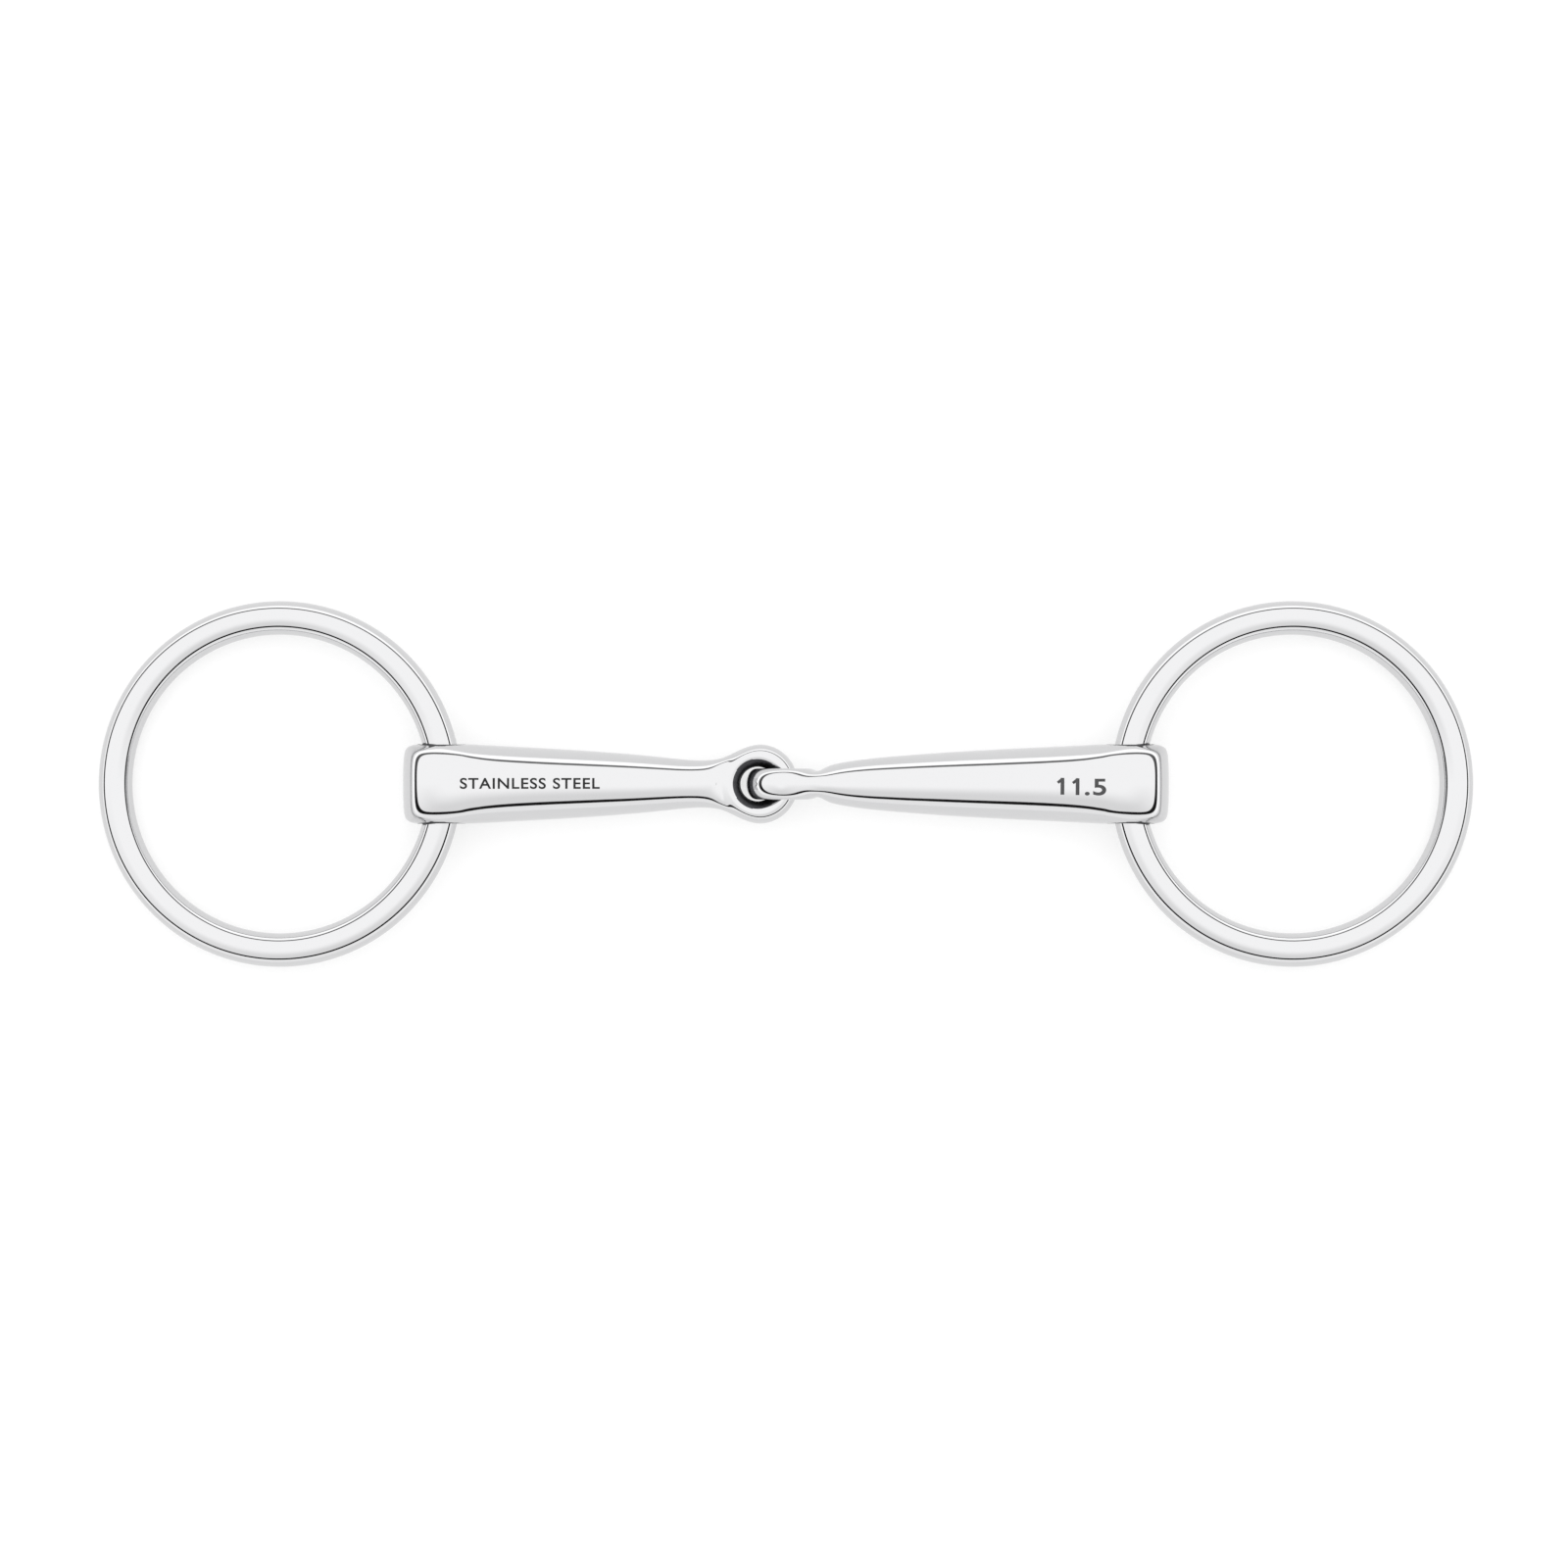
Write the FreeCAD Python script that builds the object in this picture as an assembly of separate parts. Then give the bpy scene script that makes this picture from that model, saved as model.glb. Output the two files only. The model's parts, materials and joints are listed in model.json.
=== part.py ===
"""Loose-ring snaffle bit with a single joint in the middle of the mouthpiece.

Frame, in millimetres: the bit lies flat on a table at z = 0. X runs along the mouthpiece, Y across it
in the plane of the rings, and Z up. The origin is on the table under the middle of the mouthpiece.
"""
import FreeCAD, Part
import math
import os

Vector = FreeCAD.Vector

# Overall sizes
MOUTH_WIDTH = 115.0          # between the facing sides of the two rings: the size the bit is sold by
RING_OUTSIDE = 65.0          # outside diameter of a ring
RING_BAR = 6.0               # diameter of the round bar that a ring is bent from
BUTT_DIAMETER = 14.0         # thickness of the mouthpiece at the ring, where it is thickest
BUTT_WIDTH = 14.2            # length of the ring's hole, from one side of the butt to the other

# The butt, which holds the ring's hole
RING_PLAY = 0.34             # diametral play of a ring in its hole, beyond what its bowed bar needs
HOLE_MOUTH_ROUND = 0.8       # rounding of the hole's two mouths
BUTT_CORNER = 2.0            # rounding of the butt's upright end corners, seen from above
BUTT_LAND = 0.06             # depth of the flat polished on the butt's top and underside
BUTT_DRAFT = 0.2             # how much narrower the butt is at its inner end than at the hole
BUTT_LENGTH = 5.5            # how far the butt keeps its section, inwards from the hole's axis
BUTT_BLEND = 5.5             # length over which the round bar turns into the squared butt
BUTT_SQUARENESS = 3.2        # power of the butt's rounded-square section; 2 would be an ellipse
BLEND_SQUARENESS = 2.9       # the same where the butt begins
BAR_END_SQUARENESS = 2.3     # the same where the bar ends

# The tapering bar and the neck
BAR_DIAMETERS = (10.0, 11.4, 12.5, 13.5)     # at even steps from the neck to the blend with the butt
NECK_WIDTH = 8.4             # neck, in the plane of its eye
NECK_THICKNESS = 7.6         # neck, along the axis of its eye's hole
NECK_LENGTH = 10.0           # from the eye's centre to the neck
FLARE_SHARE = 0.23           # part of the flare from neck to eye that is left half way between them
ROOT_SINK = 0.25             # how far the flare's first section lies inside the eye

# The two linked eyes
EYE_THICKNESS = 5.5          # thickness of an eye, along the axis of its hole
EYE_PLAY = 0.7               # diametral play of one eye's bar in the other eye's hole
LEFT_EYE_BAR = 4.1           # from the hole to the outside of the left eye
RIGHT_EYE_BAR = 3.55         # from the hole to the outside of the right eye
EYE_ROUND = 0.05             # how far the oval bar of an eye would stand inside its drilled hole
LEFT_EYE_X = -5.0            # centre of the left eye; the joint lies a little left of the middle
LINK_SETTLE = 0.3            # how far the right eye's bar has slid past the left hole's centre

EYE_HOLE = EYE_THICKNESS + EYE_PLAY
EYE_INNER = EYE_HOLE / 2 - EYE_ROUND
RING_RADIUS = (RING_OUTSIDE - RING_BAR) / 2
RING_BOW = RING_RADIUS - math.sqrt(RING_RADIUS ** 2 - (BUTT_WIDTH / 2) ** 2)
RING_HOLE = RING_BAR + RING_BOW + RING_PLAY
LEVEL = BUTT_DIAMETER / 2    # height of the mouthpiece's axis above the table
# A ring's bar bows outwards on its way through the hole, so the axis lies outside its middle.
HOLE_INSET = RING_BOW / 2
HOLE_X = MOUTH_WIDTH / 2 + RING_BAR / 2 + HOLE_INSET


def oval(x, half_width, half_height, squareness):
    """A closed smooth outline in the plane at x, between an ellipse and a rectangle."""
    points = []
    steps = 32
    for step in range(steps):
        angle = 2 * math.pi * step / steps
        c = math.cos(angle)
        s = math.sin(angle)
        reach = (abs(c) ** squareness + abs(s) ** squareness) ** (-1 / squareness)
        points.append(Vector(x, half_width * c * reach, LEVEL + half_height * s * reach))
    curve = Part.BSplineCurve()
    curve.interpolate(Points=points, PeriodicFlag=True)
    return Part.Wire([curve.toShape()])


def butt_outlines(side):
    """Outlines from the hole's axis to the end: round about that axis, with corners from above."""
    radius = BUTT_DIAMETER / 2
    corner_start = radius - BUTT_CORNER
    outlines = []
    for turn in (0, 15, 30, 45, 58, 70, 80, 86.5):
        angle = math.radians(turn)
        along = radius * math.sin(angle)
        half_height = (radius + BUTT_LAND) * math.cos(angle)
        into_corner = max(0.0, along - corner_start)
        cut_back = BUTT_CORNER - math.sqrt(BUTT_CORNER ** 2 - into_corner ** 2)
        x = side * (HOLE_X + along)
        outlines.append(oval(x, BUTT_WIDTH / 2 - cut_back, half_height, BUTT_SQUARENESS))
    return outlines


def ring_hole(side):
    """The hole through the butt, along Y, with a rounded mouth at each side."""
    land = RING_HOLE / 2
    wide = land + HOLE_MOUTH_ROUND
    mouth = BUTT_WIDTH / 2 + BUTT_LAND
    start = mouth - HOLE_MOUTH_ROUND
    beyond = mouth + HOLE_MOUTH_ROUND
    half_way = HOLE_MOUTH_ROUND * math.sqrt(0.5)
    axis = Vector(0, 1, 0)
    tool = Part.makeCylinder(land, 2 * beyond, Vector(0, -beyond, 0), axis)
    profile = Part.Wire([
        Part.LineSegment(Vector(0, start, 0), Vector(land, start, 0)).toShape(),
        Part.Arc(Vector(land, start, 0), Vector(wide - half_way, start + half_way, 0),
                 Vector(wide, mouth, 0)).toShape(),
        Part.LineSegment(Vector(wide, mouth, 0), Vector(wide, beyond, 0)).toShape(),
        Part.LineSegment(Vector(wide, beyond, 0), Vector(0, beyond, 0)).toShape(),
        Part.LineSegment(Vector(0, beyond, 0), Vector(0, start, 0)).toShape(),
    ])
    for turn in (0, 180):
        flare = Part.Face(profile).revolve(Vector(0, 0, 0), axis, 360)
        flare.rotate(Vector(0, 0, 0), Vector(1, 0, 0), turn)
        tool = tool.fuse(flare)
    tool.translate(Vector(side * HOLE_X, 0, LEVEL))
    return tool


def eye_ring(centre, radial_bar, hole_axis):
    """The eye: a ring whose bar is oval, thicker along the hole's axis than across it."""
    radial = radial_bar / 2
    axial = EYE_THICKNESS / 2
    across = Vector(1, 0, 0)
    middle = centre + across * (EYE_INNER + radial)
    if axial > radial:
        oval_bar = Part.Ellipse(middle + hole_axis * axial, middle + across * radial, middle)
    else:
        oval_bar = Part.Ellipse(middle + across * radial, middle + hole_axis * axial, middle)
    section = Part.Face(Part.Wire([oval_bar.toShape()]))
    return section.revolve(centre, hole_axis, 360)


def cannon(side, eye_x, radial_bar, eye_upright):
    """One half of the mouthpiece; side is -1 for the left half and 1 for the right."""
    hole_axis = Vector(0, 1, 0) if eye_upright else Vector(0, 0, 1)
    centre = Vector(eye_x, 0, LEVEL)
    eye_outer = EYE_INNER + radial_bar
    half_thickness = EYE_THICKNESS / 2

    def outline(distance, across_eye, along_hole, squareness=2.0):
        """A section at a distance from the eye's centre, turned as the eye is turned."""
        half_width = along_hole if eye_upright else across_eye
        half_height = across_eye if eye_upright else along_hole
        return oval(eye_x + side * distance, half_width, half_height, squareness)

    root = EYE_INNER + radial_bar / 2 - ROOT_SINK
    on_eye = math.sqrt(eye_outer ** 2 - root ** 2)
    flare = (root + NECK_LENGTH) / 2
    neck_width = NECK_WIDTH / 2
    neck_thickness = NECK_THICKNESS / 2
    flare_width = neck_width + FLARE_SHARE * (on_eye - neck_width)
    flare_thickness = (half_thickness + neck_thickness) / 2
    butt_start = abs(side * HOLE_X - eye_x) - BUTT_LENGTH
    bar_end = butt_start - BUTT_BLEND
    bar_step = (bar_end - NECK_LENGTH) / len(BAR_DIAMETERS)

    outlines = [
        outline(root, on_eye - ROOT_SINK, half_thickness - ROOT_SINK),
        outline(flare, flare_width, flare_thickness),
        outline(NECK_LENGTH, neck_width, neck_thickness),
    ]
    for number, diameter in enumerate(BAR_DIAMETERS, 1):
        squareness = BAR_END_SQUARENESS if number == len(BAR_DIAMETERS) else 2.0
        outlines.append(outline(NECK_LENGTH + number * bar_step, diameter / 2, diameter / 2, squareness))
    outlines.append(oval(side * (HOLE_X - BUTT_LENGTH), (BUTT_WIDTH - BUTT_DRAFT) / 2,
                         BUTT_DIAMETER / 2 + BUTT_LAND, BLEND_SQUARENESS))
    outlines += butt_outlines(side)
    bar = Part.makeLoft(outlines, True, False, False, 5)

    # The flats on the butt's top and underside
    length = HOLE_X + abs(eye_x) + BUTT_DIAMETER
    corner = Vector(min(eye_x, eye_x + side * length), -BUTT_WIDTH, 0)
    bar = bar.common(Part.makeBox(length, 2 * BUTT_WIDTH, BUTT_DIAMETER, corner))

    solid = eye_ring(centre, radial_bar, hole_axis).fuse(bar)
    reach = eye_outer + BUTT_DIAMETER
    drill = Part.makeCylinder(EYE_HOLE / 2, 2 * reach, centre - hole_axis * reach, hole_axis)
    solid = solid.cut(drill).cut(ring_hole(side))
    return solid.Solids[0]


def ring(side):
    """A ring lying in its hole, its far side let down until it rests on the table."""
    bar = RING_BAR / 2
    centre = Vector(side * (HOLE_X - HOLE_INSET + RING_RADIUS), 0, LEVEL)
    solid = Part.makeTorus(RING_RADIUS, bar, centre, Vector(0, 0, 1))
    far_side = 2 * RING_RADIUS - HOLE_INSET
    droop = math.degrees(math.asin((LEVEL - bar) / far_side))
    solid.rotate(Vector(side * HOLE_X, 0, LEVEL), Vector(0, 1, 0), side * droop)
    print("ring swivels about x", side * HOLE_X, "and droops by", droop, "degrees at rest")
    return solid


# One eye's bar passes through the other eye's hole.
RIGHT_EYE_X = LEFT_EYE_X + EYE_INNER + RIGHT_EYE_BAR / 2 - LINK_SETTLE
print("eyes at x", LEFT_EYE_X, RIGHT_EYE_X)

pieces = {
    "left_cannon": cannon(-1, LEFT_EYE_X, LEFT_EYE_BAR, False),
    "right_cannon": cannon(1, RIGHT_EYE_X, RIGHT_EYE_BAR, True),
    "left_ring": ring(-1),
    "right_ring": ring(1),
}

os.makedirs("parts", exist_ok=True)
for node, solid in pieces.items():
    print(node, solid.ShapeType, solid.isValid(), round(solid.Volume, 1))
    solid.exportStep("parts/" + node + ".step")
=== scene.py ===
"""A loose-ring snaffle bit of polished stainless steel, with one joint in the middle, lying flat."""
import json
import math

import bmesh
import bpy
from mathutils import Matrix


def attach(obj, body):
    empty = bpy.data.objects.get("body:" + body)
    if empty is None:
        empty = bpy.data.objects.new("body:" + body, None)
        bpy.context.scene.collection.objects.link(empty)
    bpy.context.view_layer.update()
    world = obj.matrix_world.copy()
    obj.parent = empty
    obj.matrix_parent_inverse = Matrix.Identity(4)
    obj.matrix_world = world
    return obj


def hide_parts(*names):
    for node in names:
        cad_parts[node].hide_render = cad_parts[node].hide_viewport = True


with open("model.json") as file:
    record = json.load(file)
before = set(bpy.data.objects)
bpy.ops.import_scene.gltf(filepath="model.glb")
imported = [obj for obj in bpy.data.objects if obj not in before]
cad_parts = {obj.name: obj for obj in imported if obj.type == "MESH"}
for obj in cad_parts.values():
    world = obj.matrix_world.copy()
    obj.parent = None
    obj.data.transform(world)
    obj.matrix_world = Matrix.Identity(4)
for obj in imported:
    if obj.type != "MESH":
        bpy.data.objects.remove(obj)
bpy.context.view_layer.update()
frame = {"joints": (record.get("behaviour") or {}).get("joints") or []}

bpy.ops.object.select_all(action="DESELECT")

# ---------------------------------------------------------------------------------------------------
# The two cannons, the halves of the mouthpiece. Each is one stainless casting, ground and polished to
# a mirror: an eye at the inner end, a neck, a bar that swells outwards, and a squared butt that is
# drilled across for the ring. The eyes are cast closed round each other, one flat and one upright.
# ---------------------------------------------------------------------------------------------------
MM = 0.001
ROUND = math.sqrt(0.5)        # where a round section's corner points lie, as a share of its radius
SWELL = 1.1082                # a smoothed octagon shrinks by this much
HOLE_INNER = 3.05             # from the eye's centre to its bar
EYE_HALF_THICKNESS = 2.75     # along the axis of the eye's hole
LEFT_EYE_BAR = 4.1            # from the hole to the outside of the left eye
RIGHT_EYE_BAR = 3.55
EYES_APART = 4.525            # between the eyes' centres, as they hang in each other
BUTT_HALF_WIDTH = 7.06
BUTT_BLEND = 11.0             # the round bar ends this far before the ring's hole
BUTT_START = 5.3              # and the squared butt begins this far before it
BUTT_SHOULDER = 4.6           # from the ring's hole to where the butt's end rounds over
BUTT_END = 2.1                # from there to its flat end
HOLE_RADIUS = 3.6             # the hole that the ring runs in

hinges = {joint["name"]: joint for joint in frame["joints"]}
LEVEL = hinges["mouthpiece_fold"]["pos_m"][2] / MM
LEFT_EYE_X = hinges["mouthpiece_fold"]["pos_m"][0] / MM
RIGHT_EYE_X = LEFT_EYE_X + EYES_APART
HOLE_X = hinges["right_ring_swing"]["pos_m"][0] / MM


def pick(test, kind="VERT"):
    """Selects the points, edges or faces whose middle, in millimetres, passes the test."""
    bpy.ops.mesh.select_mode(type=kind)
    bpy.ops.mesh.select_all(action="DESELECT")
    mesh = bmesh.from_edit_mesh(bpy.context.object.data)
    for part in {"VERT": mesh.verts, "EDGE": mesh.edges, "FACE": mesh.faces}[kind]:
        corners = [part] if kind == "VERT" else list(part.verts)
        middle = sum((corner.co for corner in corners[1:]), corners[0].co.copy()) / len(corners)
        part.select = bool(test(middle / MM))
    mesh.select_flush_mode()
    bmesh.update_edit_mesh(bpy.context.object.data)


def pick_open_edges(test=lambda middle: True):
    pick(lambda middle: False, "EDGE")
    mesh = bmesh.from_edit_mesh(bpy.context.object.data)
    for edge in mesh.edges:
        edge.select = edge.is_boundary and test((edge.verts[0].co + edge.verts[1].co) / 2 / MM)
    bmesh.update_edit_mesh(bpy.context.object.data)


def shape_loop(x, half_width, half_height, corner):
    """Turns a loop of eight points round the unit circle into a section of the bar."""
    on_axis = (12 - 6 * corner) / 7
    off_axis = (3 - 2 * on_axis) / ROUND
    here = lambda p: abs(p.x - x) < 0.01
    side = lambda p: abs(p.z) < 0.001
    top = lambda p: abs(p.y) < 0.001
    for test, wide, high in (
        (lambda p: here(p) and side(p), on_axis * half_width, 1),
        (lambda p: here(p) and top(p), 1, on_axis * half_height),
        (lambda p: here(p) and not side(p) and not top(p),
         off_axis * half_width, off_axis * half_height),
    ):
        pick(test)
        bpy.ops.transform.resize(value=(1, wide, high), center_override=(x * MM, 0, 0))


def draw_bar(sections):
    """A pipe of eight-point loops, one for each (distance, half width, half height, corner)."""
    for x, half_width, half_height, corner in sections:
        bpy.ops.mesh.select_all(action="DESELECT")
        bpy.ops.mesh.primitive_circle_add(vertices=8, radius=MM, location=(x * MM, 0, 0),
                                          rotation=(0, math.pi / 2, 0))
        shape_loop(x, half_width, half_height, corner)
    for near, far in zip(sections, sections[1:]):
        ends = (near[0], far[0])
        pick(lambda p: any(abs(p.x - end) < 0.01 for end in ends), "EDGE")
        bpy.ops.mesh.bridge_edge_loops()


def drill_for_ring(span):
    """The ring's hole across the butt, its mouths rounded over so that they don't wear the ring."""
    across = (span * MM, 0, 0)
    for face in (-1, 1):
        pick(lambda p: face * p.y > 4.8 and abs(p.x - span) < 5 and abs(p.z) < 4.5, "FACE")
        bpy.ops.mesh.inset(thickness=0.9 * MM, depth=0)
        bpy.ops.mesh.delete(type="FACE")
        pick_open_edges(lambda p: face * p.y > 4.5)
        plane = (span * MM, face * BUTT_HALF_WIDTH * MM, 0)
        bpy.ops.transform.resize(value=(1, 0, 1), center_override=plane)
        bpy.ops.transform.tosphere(value=1)
        mesh = bmesh.from_edit_mesh(bpy.context.object.data)
        rim = [vert.co for vert in mesh.verts if vert.select]
        middle = sum(point.x for point in rim) / len(rim)
        bpy.ops.transform.translate(value=(span * MM - middle, 0, 0))
        radius = sum(math.hypot(point.x - span * MM, point.z) for point in rim) / len(rim) / MM
        # the mouth narrows to the hole in steps of (depth, radius)
        for inward, wanted in ((0, 4.3), (0.12, 4.12), (0.5, 4.0), (1.4, HOLE_RADIUS * SWELL)):
            if inward:
                bpy.ops.mesh.extrude_region_move(
                    TRANSFORM_OT_translate={"value": (0, -face * inward * MM, 0)})
            scale = wanted / radius
            bpy.ops.transform.resize(value=(scale, 1, scale), center_override=across)
            radius = wanted
    pick_open_edges()
    bpy.ops.mesh.bridge_edge_loops(number_cuts=2)


def cast_cannon(name, side, eye_x, eye_bar, upright):
    """side is -1 for the left cannon and 1 for the right; upright stands its eye on edge."""
    span = abs(side * HOLE_X - eye_x)
    half_bar = eye_bar / 2
    outer = HOLE_INNER + eye_bar
    bpy.ops.object.select_all(action="DESELECT")
    bpy.ops.mesh.primitive_torus_add(major_segments=8, minor_segments=8,
                                     major_radius=(HOLE_INNER + half_bar) * SWELL * MM,
                                     minor_radius=half_bar * SWELL ** 2 * MM)
    casting = bpy.context.object
    casting.name = name
    bpy.ops.object.mode_set(mode="EDIT")
    bpy.ops.mesh.select_all(action="SELECT")
    bpy.ops.transform.resize(value=(1, 1, EYE_HALF_THICKNESS / (half_bar * SWELL)))
    pick(lambda p: p.x > 0.8 * outer and abs(p.y) < 0.5 * outer and abs(p.z) < 2.2, "FACE")
    bpy.ops.mesh.delete(type="FACE")
    pick_open_edges()
    bpy.ops.transform.resize(value=(1, 0.84, 0.95), center_override=(0, 0, 0))
    if upright:
        bpy.ops.mesh.select_all(action="SELECT")
        bpy.ops.transform.rotate(value=math.pi / 2, orient_axis="X", center_override=(0, 0, 0))

    # the flare from eye to neck, by distance, half size across the eye and half size along its hole
    flare = ((7.6, 4.3, 3.2), (10.0, 4.12, 3.78), (14.0, 4.42, 4.4))
    sections = [(x, along, across, ROUND) if upright else (x, across, along, ROUND)
                for x, across, along in flare]
    # the bar swells in four even steps to the blend, then come the butt's three sections
    bar_end = span - BUTT_BLEND
    for number, (radius, corner) in enumerate(
            ((5.0, ROUND), (5.74, ROUND), (6.28, 0.71), (6.74, 0.722)), 1):
        sections.append((10 + number * (bar_end - 10) / 4, radius, radius, corner))
    end_height = 5.9
    sections += [(span - BUTT_START, 7.05, 6.8, 0.745), (span, BUTT_HALF_WIDTH, 6.73, 0.72),
                 (span + BUTT_SHOULDER, BUTT_HALF_WIDTH + 0.03, end_height, 0.76)]
    draw_bar(sections)
    # the butt's broad bevels, ground on above and below the ring's hole
    pick(lambda p: abs(p.x - span) < 0.01 and abs(p.y) > 1 and abs(p.z) > 1)
    bpy.ops.transform.resize(value=(1, 0.81, 1.24), center_override=(0, 0, 0))
    pick(lambda p: abs(p.x - span - BUTT_SHOULDER) < 0.01, "EDGE")
    bpy.ops.mesh.extrude_region_move(TRANSFORM_OT_translate={"value": (BUTT_END * MM, 0, 0)})
    bpy.ops.transform.resize(value=(1, 0.91, 2.4 / end_height), center_override=(0, 0, 0))
    bpy.ops.mesh.fill_grid(span=2)
    # the end is slightly domed
    pick(lambda p: p.x > span + BUTT_SHOULDER + 1.9 and abs(p.z) < 0.01)
    bpy.ops.transform.translate(value=(0.4 * MM, 0, 0))
    pick_open_edges()
    bpy.ops.mesh.bridge_edge_loops()
    drill_for_ring(span)
    bpy.ops.mesh.select_all(action="SELECT")
    bpy.ops.mesh.normals_make_consistent(inside=False)
    if side < 0:
        bpy.ops.transform.rotate(value=math.pi, orient_axis="Z", center_override=(0, 0, 0))
    bpy.ops.transform.translate(value=(eye_x * MM, 0, LEVEL * MM))
    bpy.ops.object.mode_set(mode="OBJECT")
    smooth = casting.modifiers.new("ground smooth", "SUBSURF")
    smooth.levels = smooth.render_levels = 4
    bpy.ops.object.modifier_apply(modifier=smooth.name)
    bpy.ops.object.shade_smooth()
    # the mop doesn't reach inside the eye and the ring's hole, so they get the second finish: dull
    # unpolished steel, painted dark grey as the shade of these recesses
    eye_mouth = HOLE_INNER + 0.68 * half_bar
    for face in casting.data.polygons:
        x, y, z = face.center / MM
        from_eye = math.hypot(x - eye_x, (z - LEVEL) if upright else y)
        from_hole = math.hypot(x - side * HOLE_X, z - LEVEL)
        in_hole = from_hole < HOLE_RADIUS + 0.8 and abs(y) < BUTT_HALF_WIDTH - 0.03
        face.material_index = int(from_eye < eye_mouth or in_hole)
    return casting


left_cannon = cast_cannon("left_cannon_casting", -1, LEFT_EYE_X, LEFT_EYE_BAR, False)
right_cannon = cast_cannon("right_cannon_casting", 1, RIGHT_EYE_X, RIGHT_EYE_BAR, True)


def from_hex(code):
    """An sRGB hex colour as linear red, green, blue and alpha."""
    shares = [int(code[place:place + 2], 16) / 255 for place in (1, 3, 5)]
    return [share / 12.92 if share <= 0.04045 else ((share + 0.055) / 1.055) ** 2.4
            for share in shares] + [1]


def add_node(tree, kind, settings=None, **inputs):
    """A node with its settings; each input is a plain value or another node's output."""
    node = tree.nodes.new(kind)
    for name, value in (settings or {}).items():
        setattr(node, name, value)
    for name, value in inputs.items():
        key = int(name[1:]) if name[1:].isdigit() else name.replace("_", " ")
        if isinstance(value, bpy.types.NodeSocket):
            tree.links.new(value, node.inputs[key])
        else:
            node.inputs[key].default_value = value
    return node


def new_material(name):
    material = bpy.data.materials.new(name)
    material.use_nodes = True
    material.node_tree.nodes.clear()
    return material, material.node_tree


def polished_steel(name, colour, roughness, waviness):
    """Stainless steel taken to a mirror on a buffing mop."""
    material, tree = new_material(name)
    place = add_node(tree, "ShaderNodeTexCoord").outputs["Object"]
    # the mop leaves the surface very slightly uneven every 6 mm or so, and hair lines 0.3 mm apart
    waves = add_node(tree, "ShaderNodeTexNoise", Vector=place, Scale=1 / (6 * MM), Detail=2.0)
    along = add_node(tree, "ShaderNodeMapping", {}, Vector=place, Scale=(0.06, 1, 1))
    hairs = add_node(tree, "ShaderNodeTexNoise", Vector=along.outputs["Vector"],
                     Scale=1 / (0.3 * MM), Detail=3.0)
    haze = add_node(tree, "ShaderNodeMapRange", Value=hairs.outputs["Fac"], From_Min=0.3, From_Max=0.75,
                    To_Min=roughness * 0.7, To_Max=roughness * 1.4)
    swells = add_node(tree, "ShaderNodeBump", Height=waves.outputs["Fac"],
                      Distance=waviness * MM, Strength=1.0)
    scores = add_node(tree, "ShaderNodeBump", Height=hairs.outputs["Fac"], Distance=0.0004 * MM,
                      Strength=1.0, Normal=swells.outputs["Normal"])
    steel = add_node(tree, "ShaderNodeBsdfPrincipled", Base_Color=from_hex(colour), Metallic=1.0,
                     Roughness=haze.outputs["Result"], Normal=scores.outputs["Normal"])
    add_node(tree, "ShaderNodeOutputMaterial", Surface=steel.outputs["BSDF"])
    return material


def unpolished_steel_painted_shade(name, colour):
    """Steel as it left the mould and the drill: dull and slightly pitted, its dark grey painted on as
    the shade inside the eyes and the ring's holes.
    """
    material, tree = new_material(name)
    place = add_node(tree, "ShaderNodeTexCoord").outputs["Object"]
    # pits from sand grains about 0.4 mm across
    pits = add_node(tree, "ShaderNodeTexNoise", Vector=place, Scale=1 / (0.4 * MM), Detail=4.0)
    tint = add_node(tree, "ShaderNodeValToRGB", Fac=pits.outputs["Fac"])
    tint.color_ramp.elements[0].color = from_hex(colour)
    tint.color_ramp.elements[1].color = [2.4 * share for share in from_hex(colour)[:3]] + [1]
    rough = add_node(tree, "ShaderNodeBump", Height=pits.outputs["Fac"],
                     Distance=0.03 * MM, Strength=0.8)
    steel = add_node(tree, "ShaderNodeBsdfPrincipled", Base_Color=tint.outputs["Color"], Metallic=1.0,
                     Roughness=0.42, Normal=rough.outputs["Normal"])
    add_node(tree, "ShaderNodeOutputMaterial", Surface=steel.outputs["BSDF"])
    return material


cast_steel = polished_steel("mirror-polished cast stainless steel", "#cacacb", 0.045, 0.012)
# the insides of the eyes and the ring's holes are really dull steel, but their dark grey is painted
# shade
inside_steel_painted_shade = unpolished_steel_painted_shade("as-cast stainless steel painted dark as shade", "#3c3c3e")
for casting, body in ((left_cannon, "left_cannon"), (right_cannon, "right_cannon")):
    casting.data.materials.append(cast_steel)
    casting.data.materials.append(inside_steel_painted_shade)
    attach(casting, body)
    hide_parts(body)

# ---------------------------------------------------------------------------------------------------
# The two loose rings. Each is round stainless bar bent to a circle through the hole of its butt, its
# ends butt-welded, and the weld ground flush and polished until only a trace of it is left.
# ---------------------------------------------------------------------------------------------------
RING_OUTSIDE = 64.99
RING_BAR = 6.0
HALF_HOLE = 7.1               # half the length of the ring's hole, within which its bar bows
ring_radius = (RING_OUTSIDE - RING_BAR) / 2
ring_steel = polished_steel("mirror-polished stainless bar", "#cacacb", 0.035, 0.008)


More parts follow.
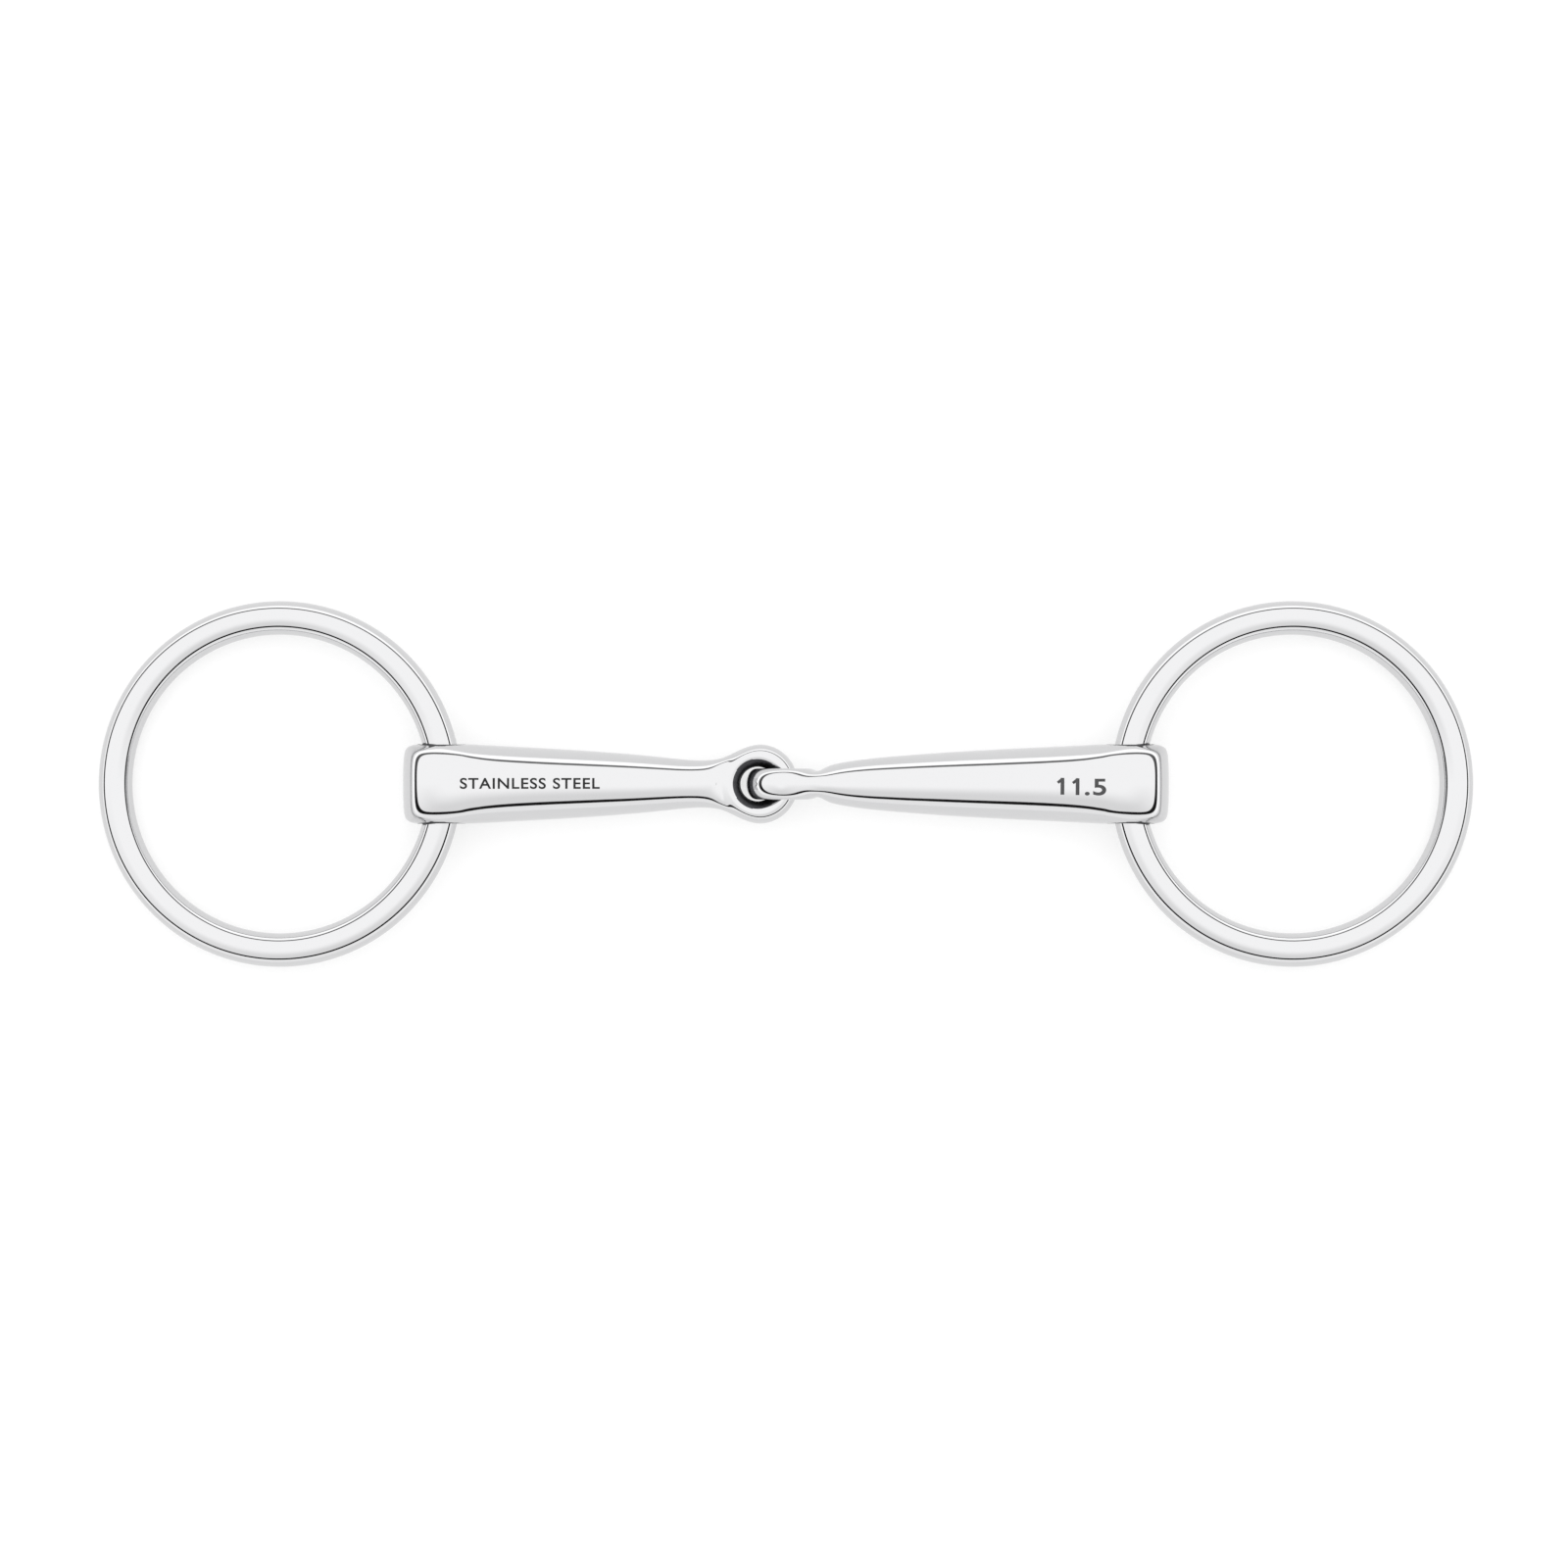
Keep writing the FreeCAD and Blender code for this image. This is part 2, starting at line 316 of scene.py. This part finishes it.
def bend_ring(name, side):
    """A ring whose far side has dropped to the table, turned down about the axis of its hole."""
    inset = ring_radius - math.sqrt(ring_radius ** 2 - HALF_HOLE ** 2)
    centre_x = side * (HOLE_X - inset / 2 + ring_radius)
    droop = math.asin((LEVEL - RING_BAR / 2) / (2 * ring_radius - inset / 2))
    bpy.ops.object.select_all(action="DESELECT")
    bpy.ops.mesh.primitive_circle_add(vertices=40, radius=RING_BAR / 2 * MM,
                                      rotation=(math.pi / 2, 0, 0),
                                      location=((centre_x - side * ring_radius) * MM, 0, LEVEL * MM))
    bent = bpy.context.object
    bent.name = name
    bpy.ops.object.transform_apply(location=True, rotation=True, scale=True)
    bpy.ops.object.mode_set(mode="EDIT")
    bpy.ops.mesh.select_all(action="SELECT")
    bpy.ops.mesh.spin(steps=240, angle=2 * math.pi, axis=(0, 0, 1),
                      center=(centre_x * MM, 0, LEVEL * MM))
    bpy.ops.mesh.select_all(action="SELECT")
    bpy.ops.mesh.remove_doubles(threshold=0.01 * MM)
    bpy.ops.mesh.normals_make_consistent(inside=False)
    # the trace of the weld, which hangs inside the butt
    pick(lambda p: abs(p.y) < 0.9 and side * p.x < HOLE_X + 6)
    bpy.ops.transform.shrink_fatten(value=0.02 * MM)
    bpy.ops.mesh.select_all(action="SELECT")
    bpy.ops.transform.rotate(value=-side * droop, orient_axis="Y",
                             center_override=(side * HOLE_X * MM, 0, LEVEL * MM))
    bpy.ops.object.mode_set(mode="OBJECT")
    bpy.ops.object.shade_smooth()
    bent.data.materials.append(ring_steel)
    return bent


for side, word in ((-1, "left"), (1, "right")):
    loose_ring = bend_ring(word + "_loose_ring", side)
    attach(loose_ring, word + "_ring")
    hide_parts(word + "_ring")

# ---------------------------------------------------------------------------------------------------
# The marks. The maker burns them into the polished bar with a laser, which leaves a matt dark oxide:
# the name of the metal on the left half, and the size in centimetres on the right half.
# ---------------------------------------------------------------------------------------------------
INK_PROUD = 0.02


def laser_oxide(name, colour):
    """Dark chromium oxide left by the laser; it is matt, with the beam's raster as a faint grain."""
    material, tree = new_material(name)
    place = add_node(tree, "ShaderNodeTexCoord").outputs["Object"]
    grain = add_node(tree, "ShaderNodeTexNoise", Vector=place, Scale=1 / (0.15 * MM), Detail=2.0)
    shade = add_node(tree, "ShaderNodeValToRGB", Fac=grain.outputs["Fac"])
    shade.color_ramp.elements[0].color = from_hex(colour)
    shade.color_ramp.elements[1].color = [min(1, 2.2 * share) for share in from_hex(colour)[:3]] + [1]
    oxide = add_node(tree, "ShaderNodeBsdfPrincipled", Base_Color=shade.outputs["Color"],
                     Roughness=0.75, Metallic=0.0)
    add_node(tree, "ShaderNodeOutputMaterial", Surface=oxide.outputs["BSDF"])
    return material


def set_out(name, words, cap_height, width, bold, x, y, root):
    """Upright letters as a solid that stands through the casting's skin from a height of root."""
    bpy.ops.object.select_all(action="DESELECT")
    bpy.ops.object.text_add(location=(0, 0, 0))
    letters = bpy.context.object
    letters.name = name
    letters.data.body = words
    letters.data.extrude = 1
    letters.data.offset = bold
    letters.data.space_character = 1.1
    bpy.ops.object.convert(target="MESH")
    low = [min(vert.co[axis] for vert in letters.data.vertices) for axis in range(3)]
    high = [max(vert.co[axis] for vert in letters.data.vertices) for axis in range(3)]
    top = LEVEL * 2 + 1
    bpy.ops.object.mode_set(mode="EDIT")
    bpy.ops.mesh.select_all(action="SELECT")
    bpy.ops.mesh.remove_doubles(threshold=0.0001)
    bpy.ops.transform.translate(value=[-(low[axis] + high[axis]) / 2 for axis in range(3)])
    bpy.ops.transform.resize(center_override=(0, 0, 0),
                             value=(width / (high[0] - low[0]) * MM,
                                    cap_height / (high[1] - low[1]) * MM, (top - root) / 2 * MM))
    bpy.ops.transform.translate(value=(x * MM, y * MM, (top + root) / 2 * MM))
    bpy.ops.mesh.normals_make_consistent(inside=False)
    bpy.ops.object.mode_set(mode="OBJECT")
    return letters


def burn_in(letters, casting, body, material):
    """Cuts the letters off flush with the casting, so that they follow its curve."""
    skin = casting.copy()
    skin.data = casting.data.copy()
    skin.parent = None
    bpy.context.collection.objects.link(skin)
    bpy.ops.object.select_all(action="DESELECT")
    bpy.context.view_layer.objects.active = skin
    skin.select_set(True)
    bpy.ops.object.mode_set(mode="EDIT")
    bpy.ops.mesh.select_all(action="SELECT")
    bpy.ops.transform.shrink_fatten(value=INK_PROUD * MM)
    bpy.ops.object.mode_set(mode="OBJECT")
    thin = skin.modifiers.new("thin", "DECIMATE")
    thin.decimate_type, thin.iterations = "UNSUBDIV", 2
    bpy.ops.object.modifier_apply(modifier=thin.name)
    bpy.context.view_layer.objects.active = letters
    cut = letters.modifiers.new("cut", "BOOLEAN")
    cut.operation, cut.object, cut.solver = "INTERSECT", skin, "EXACT"
    bpy.ops.object.modifier_apply(modifier=cut.name)
    bpy.data.objects.remove(skin)
    # a letter T comes with a slit under its bar, which is closed
    bpy.ops.object.mode_set(mode="EDIT")
    pick_open_edges()
    bpy.ops.mesh.fill_holes(sides=4)
    bpy.ops.object.mode_set(mode="OBJECT")
    letters.data.materials.clear()
    letters.data.materials.append(material)
    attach(letters, body)


steel_mark = set_out("steel_mark", "STAINLESS STEEL", 1.95, 24.5, 0.018, -45.0, 0.1, LEVEL + 5)
burn_in(steel_mark, left_cannon, "left_cannon", laser_oxide("black laser oxide", "#0c0c0d"))

size_mark = set_out("size_mark", ".5", 2.95, 3.75, 0.02, 54.35, -0.55, LEVEL + 5.8)
bpy.ops.object.mode_set(mode="EDIT")
for foot_x, foot_y in ((48.55, -0.4), (51.2, -0.47)):
    # a figure one: its upright, and its flag leaning down to the left
    for x, y, wide, high, lean in ((foot_x, foot_y, 0.66, 2.95, 0),
                                   (foot_x - 0.38, foot_y + 0.98, 1.15, 0.5, 38)):
        bpy.ops.mesh.primitive_cube_add(size=MM, location=(x * MM, y * MM, (2 * LEVEL - 0.1) * MM),
                                        rotation=(0, 0, math.radians(lean)), scale=(wide, high, 2.2))
bpy.ops.object.mode_set(mode="OBJECT")
# the flag and the upright overlap, so the whole is first made one solid against a plain block
bpy.ops.object.select_all(action="DESELECT")
bpy.ops.mesh.primitive_cube_add(size=20 * MM, location=(52 * MM, 0, LEVEL * MM))
block = bpy.context.object
bpy.context.view_layer.objects.active = size_mark
join = size_mark.modifiers.new("join", "BOOLEAN")
join.operation, join.object, join.solver, join.use_self = "INTERSECT", block, "EXACT", True
bpy.ops.object.modifier_apply(modifier=join.name)
bpy.data.objects.remove(block)
burn_in(size_mark, right_cannon, "right_cannon", laser_oxide("grey laser oxide", "#343435"))

# ---------------------------------------------------------------------------------------------------
# The table: a smooth sheet of white acrylic, softly lit from below as well, as on a light table.
# It lets through what looks up at it, so that the bit's underside can be seen.
# ---------------------------------------------------------------------------------------------------
bpy.ops.object.select_all(action="DESELECT")
bpy.ops.mesh.primitive_plane_add(size=6, location=(0, 0, -0.03 * MM))
table = bpy.context.object
table.name = "table"
acrylic, tree = new_material("white acrylic sheet")
sheet = add_node(tree, "ShaderNodeBsdfDiffuse", Color=from_hex("#adadad"))
glow = add_node(tree, "ShaderNodeEmission", Color=(1, 1, 1, 1), Strength=0.6)
lit = add_node(tree, "ShaderNodeAddShader", _0=sheet.outputs["BSDF"], _1=glow.outputs["Emission"])
clear = add_node(tree, "ShaderNodeBsdfTransparent")
below = add_node(tree, "ShaderNodeNewGeometry").outputs["Backfacing"]
either = add_node(tree, "ShaderNodeMixShader", _0=below, _1=lit.outputs["Shader"],
                  _2=clear.outputs["BSDF"])
add_node(tree, "ShaderNodeOutputMaterial", Surface=either.outputs["Shader"])
table.data.materials.append(acrylic)

# ---------------------------------------------------------------------------------------------------
# The light: a white tent all round and overhead. Polished steel shows the one dark thing in it, the
# gap between the tent's wall and the table, as a thin line along both sides of every bar.
# ---------------------------------------------------------------------------------------------------
TENT = 1.5
world = bpy.data.worlds.new("light tent")
bpy.context.scene.world = world
world.use_nodes = True
tree = world.node_tree
tree.nodes.clear()


def reckon(operation, first, second=0.0, third=0.0):
    return add_node(tree, "ShaderNodeMath", {"operation": operation},
                    _0=first, _1=second, _2=third).outputs["Value"]


direction = add_node(tree, "ShaderNodeTexCoord").outputs["Generated"]
parts = add_node(tree, "ShaderNodeSeparateXYZ", Vector=direction)
east, north, up = (parts.outputs[axis] for axis in "XYZ")
height = reckon("MULTIPLY", reckon("ARCSINE", up), math.degrees(1))
level_length = reckon("SQRT", reckon("MULTIPLY_ADD", east, east, reckon("MULTIPLY", north, north)))
northness = reckon("DIVIDE", north, reckon("MAXIMUM", level_length, 0.001))
# the gap's middle is 14 degrees up at the ends of the bit, 21 behind it and 27 in front of it
from_ends = reckon("MULTIPLY", northness, northness)
rise = reckon("MULTIPLY_ADD", from_ends, 10.0, 14.0)
middle = reckon("MULTIPLY_ADD", northness, -3.0, rise)
above = reckon("SUBTRACT", height, middle)
# it is 12 degrees tall at the ends, 11 in front, where it is darkest, and 8 behind
half_tall = reckon("MULTIPLY_ADD", northness, -0.8, reckon("MULTIPLY_ADD", from_ends, -1.1, 6.0))
beyond = reckon("SUBTRACT", reckon("ABSOLUTE", above), half_tall)
gap = add_node(tree, "ShaderNodeMapRange", {"interpolation_type": "SMOOTHSTEP"}, Value=beyond,
               From_Min=-0.9, From_Max=0.9, To_Min=1.0, To_Max=0.0).outputs["Result"]
depth = reckon("MINIMUM", reckon("MULTIPLY_ADD", northness, -0.1, 0.96), 0.99)
shade = reckon("SUBTRACT", 1.0, reckon("MULTIPLY", gap, depth))
wall = add_node(tree, "ShaderNodeMapRange", {}, Value=above, From_Min=-1.0, From_Max=1.0,
                To_Min=1.15 * TENT, To_Max=TENT).outputs["Result"]
# the front wall is further off and a little greyer, more so lower down
low_down = add_node(tree, "ShaderNodeMapRange", {"interpolation_type": "SMOOTHSTEP"}, Value=height,
                    From_Min=48.0, From_Max=82.0, To_Min=0.26, To_Max=0.0).outputs["Result"]
in_front = reckon("MAXIMUM", reckon("MULTIPLY", northness, -1.0), 0.0)
greyed = reckon("SUBTRACT", 1.0, reckon("MULTIPLY", low_down, in_front))
seen_light = reckon("MULTIPLY", reckon("MULTIPLY", wall, greyed), shade)
light = add_node(tree, "ShaderNodeBackground", Color=(1, 1, 1, 1), Strength=seen_light)
paper = add_node(tree, "ShaderNodeBackground", Color=(1, 1, 1, 1), Strength=1.0)
looked_at = add_node(tree, "ShaderNodeLightPath").outputs["Is Camera Ray"]
both = add_node(tree, "ShaderNodeMixShader", _0=looked_at, _1=light.outputs["Background"],
                _2=paper.outputs["Background"])
add_node(tree, "ShaderNodeOutputWorld", Surface=both.outputs["Shader"])
bpy.context.scene.view_settings.view_transform = "Standard"

# ---------------------------------------------------------------------------------------------------
# The camera looks straight down on the middle of the bit.
# ---------------------------------------------------------------------------------------------------
camera = bpy.data.objects.new("camera", bpy.data.cameras.new("camera"))
bpy.context.collection.objects.link(camera)
camera.data.lens = 100
camera.data.sensor_width = 36
camera.location = (-0.35 * MM, 0, (LEVEL + 771.5) * MM)
bpy.context.scene.camera = camera
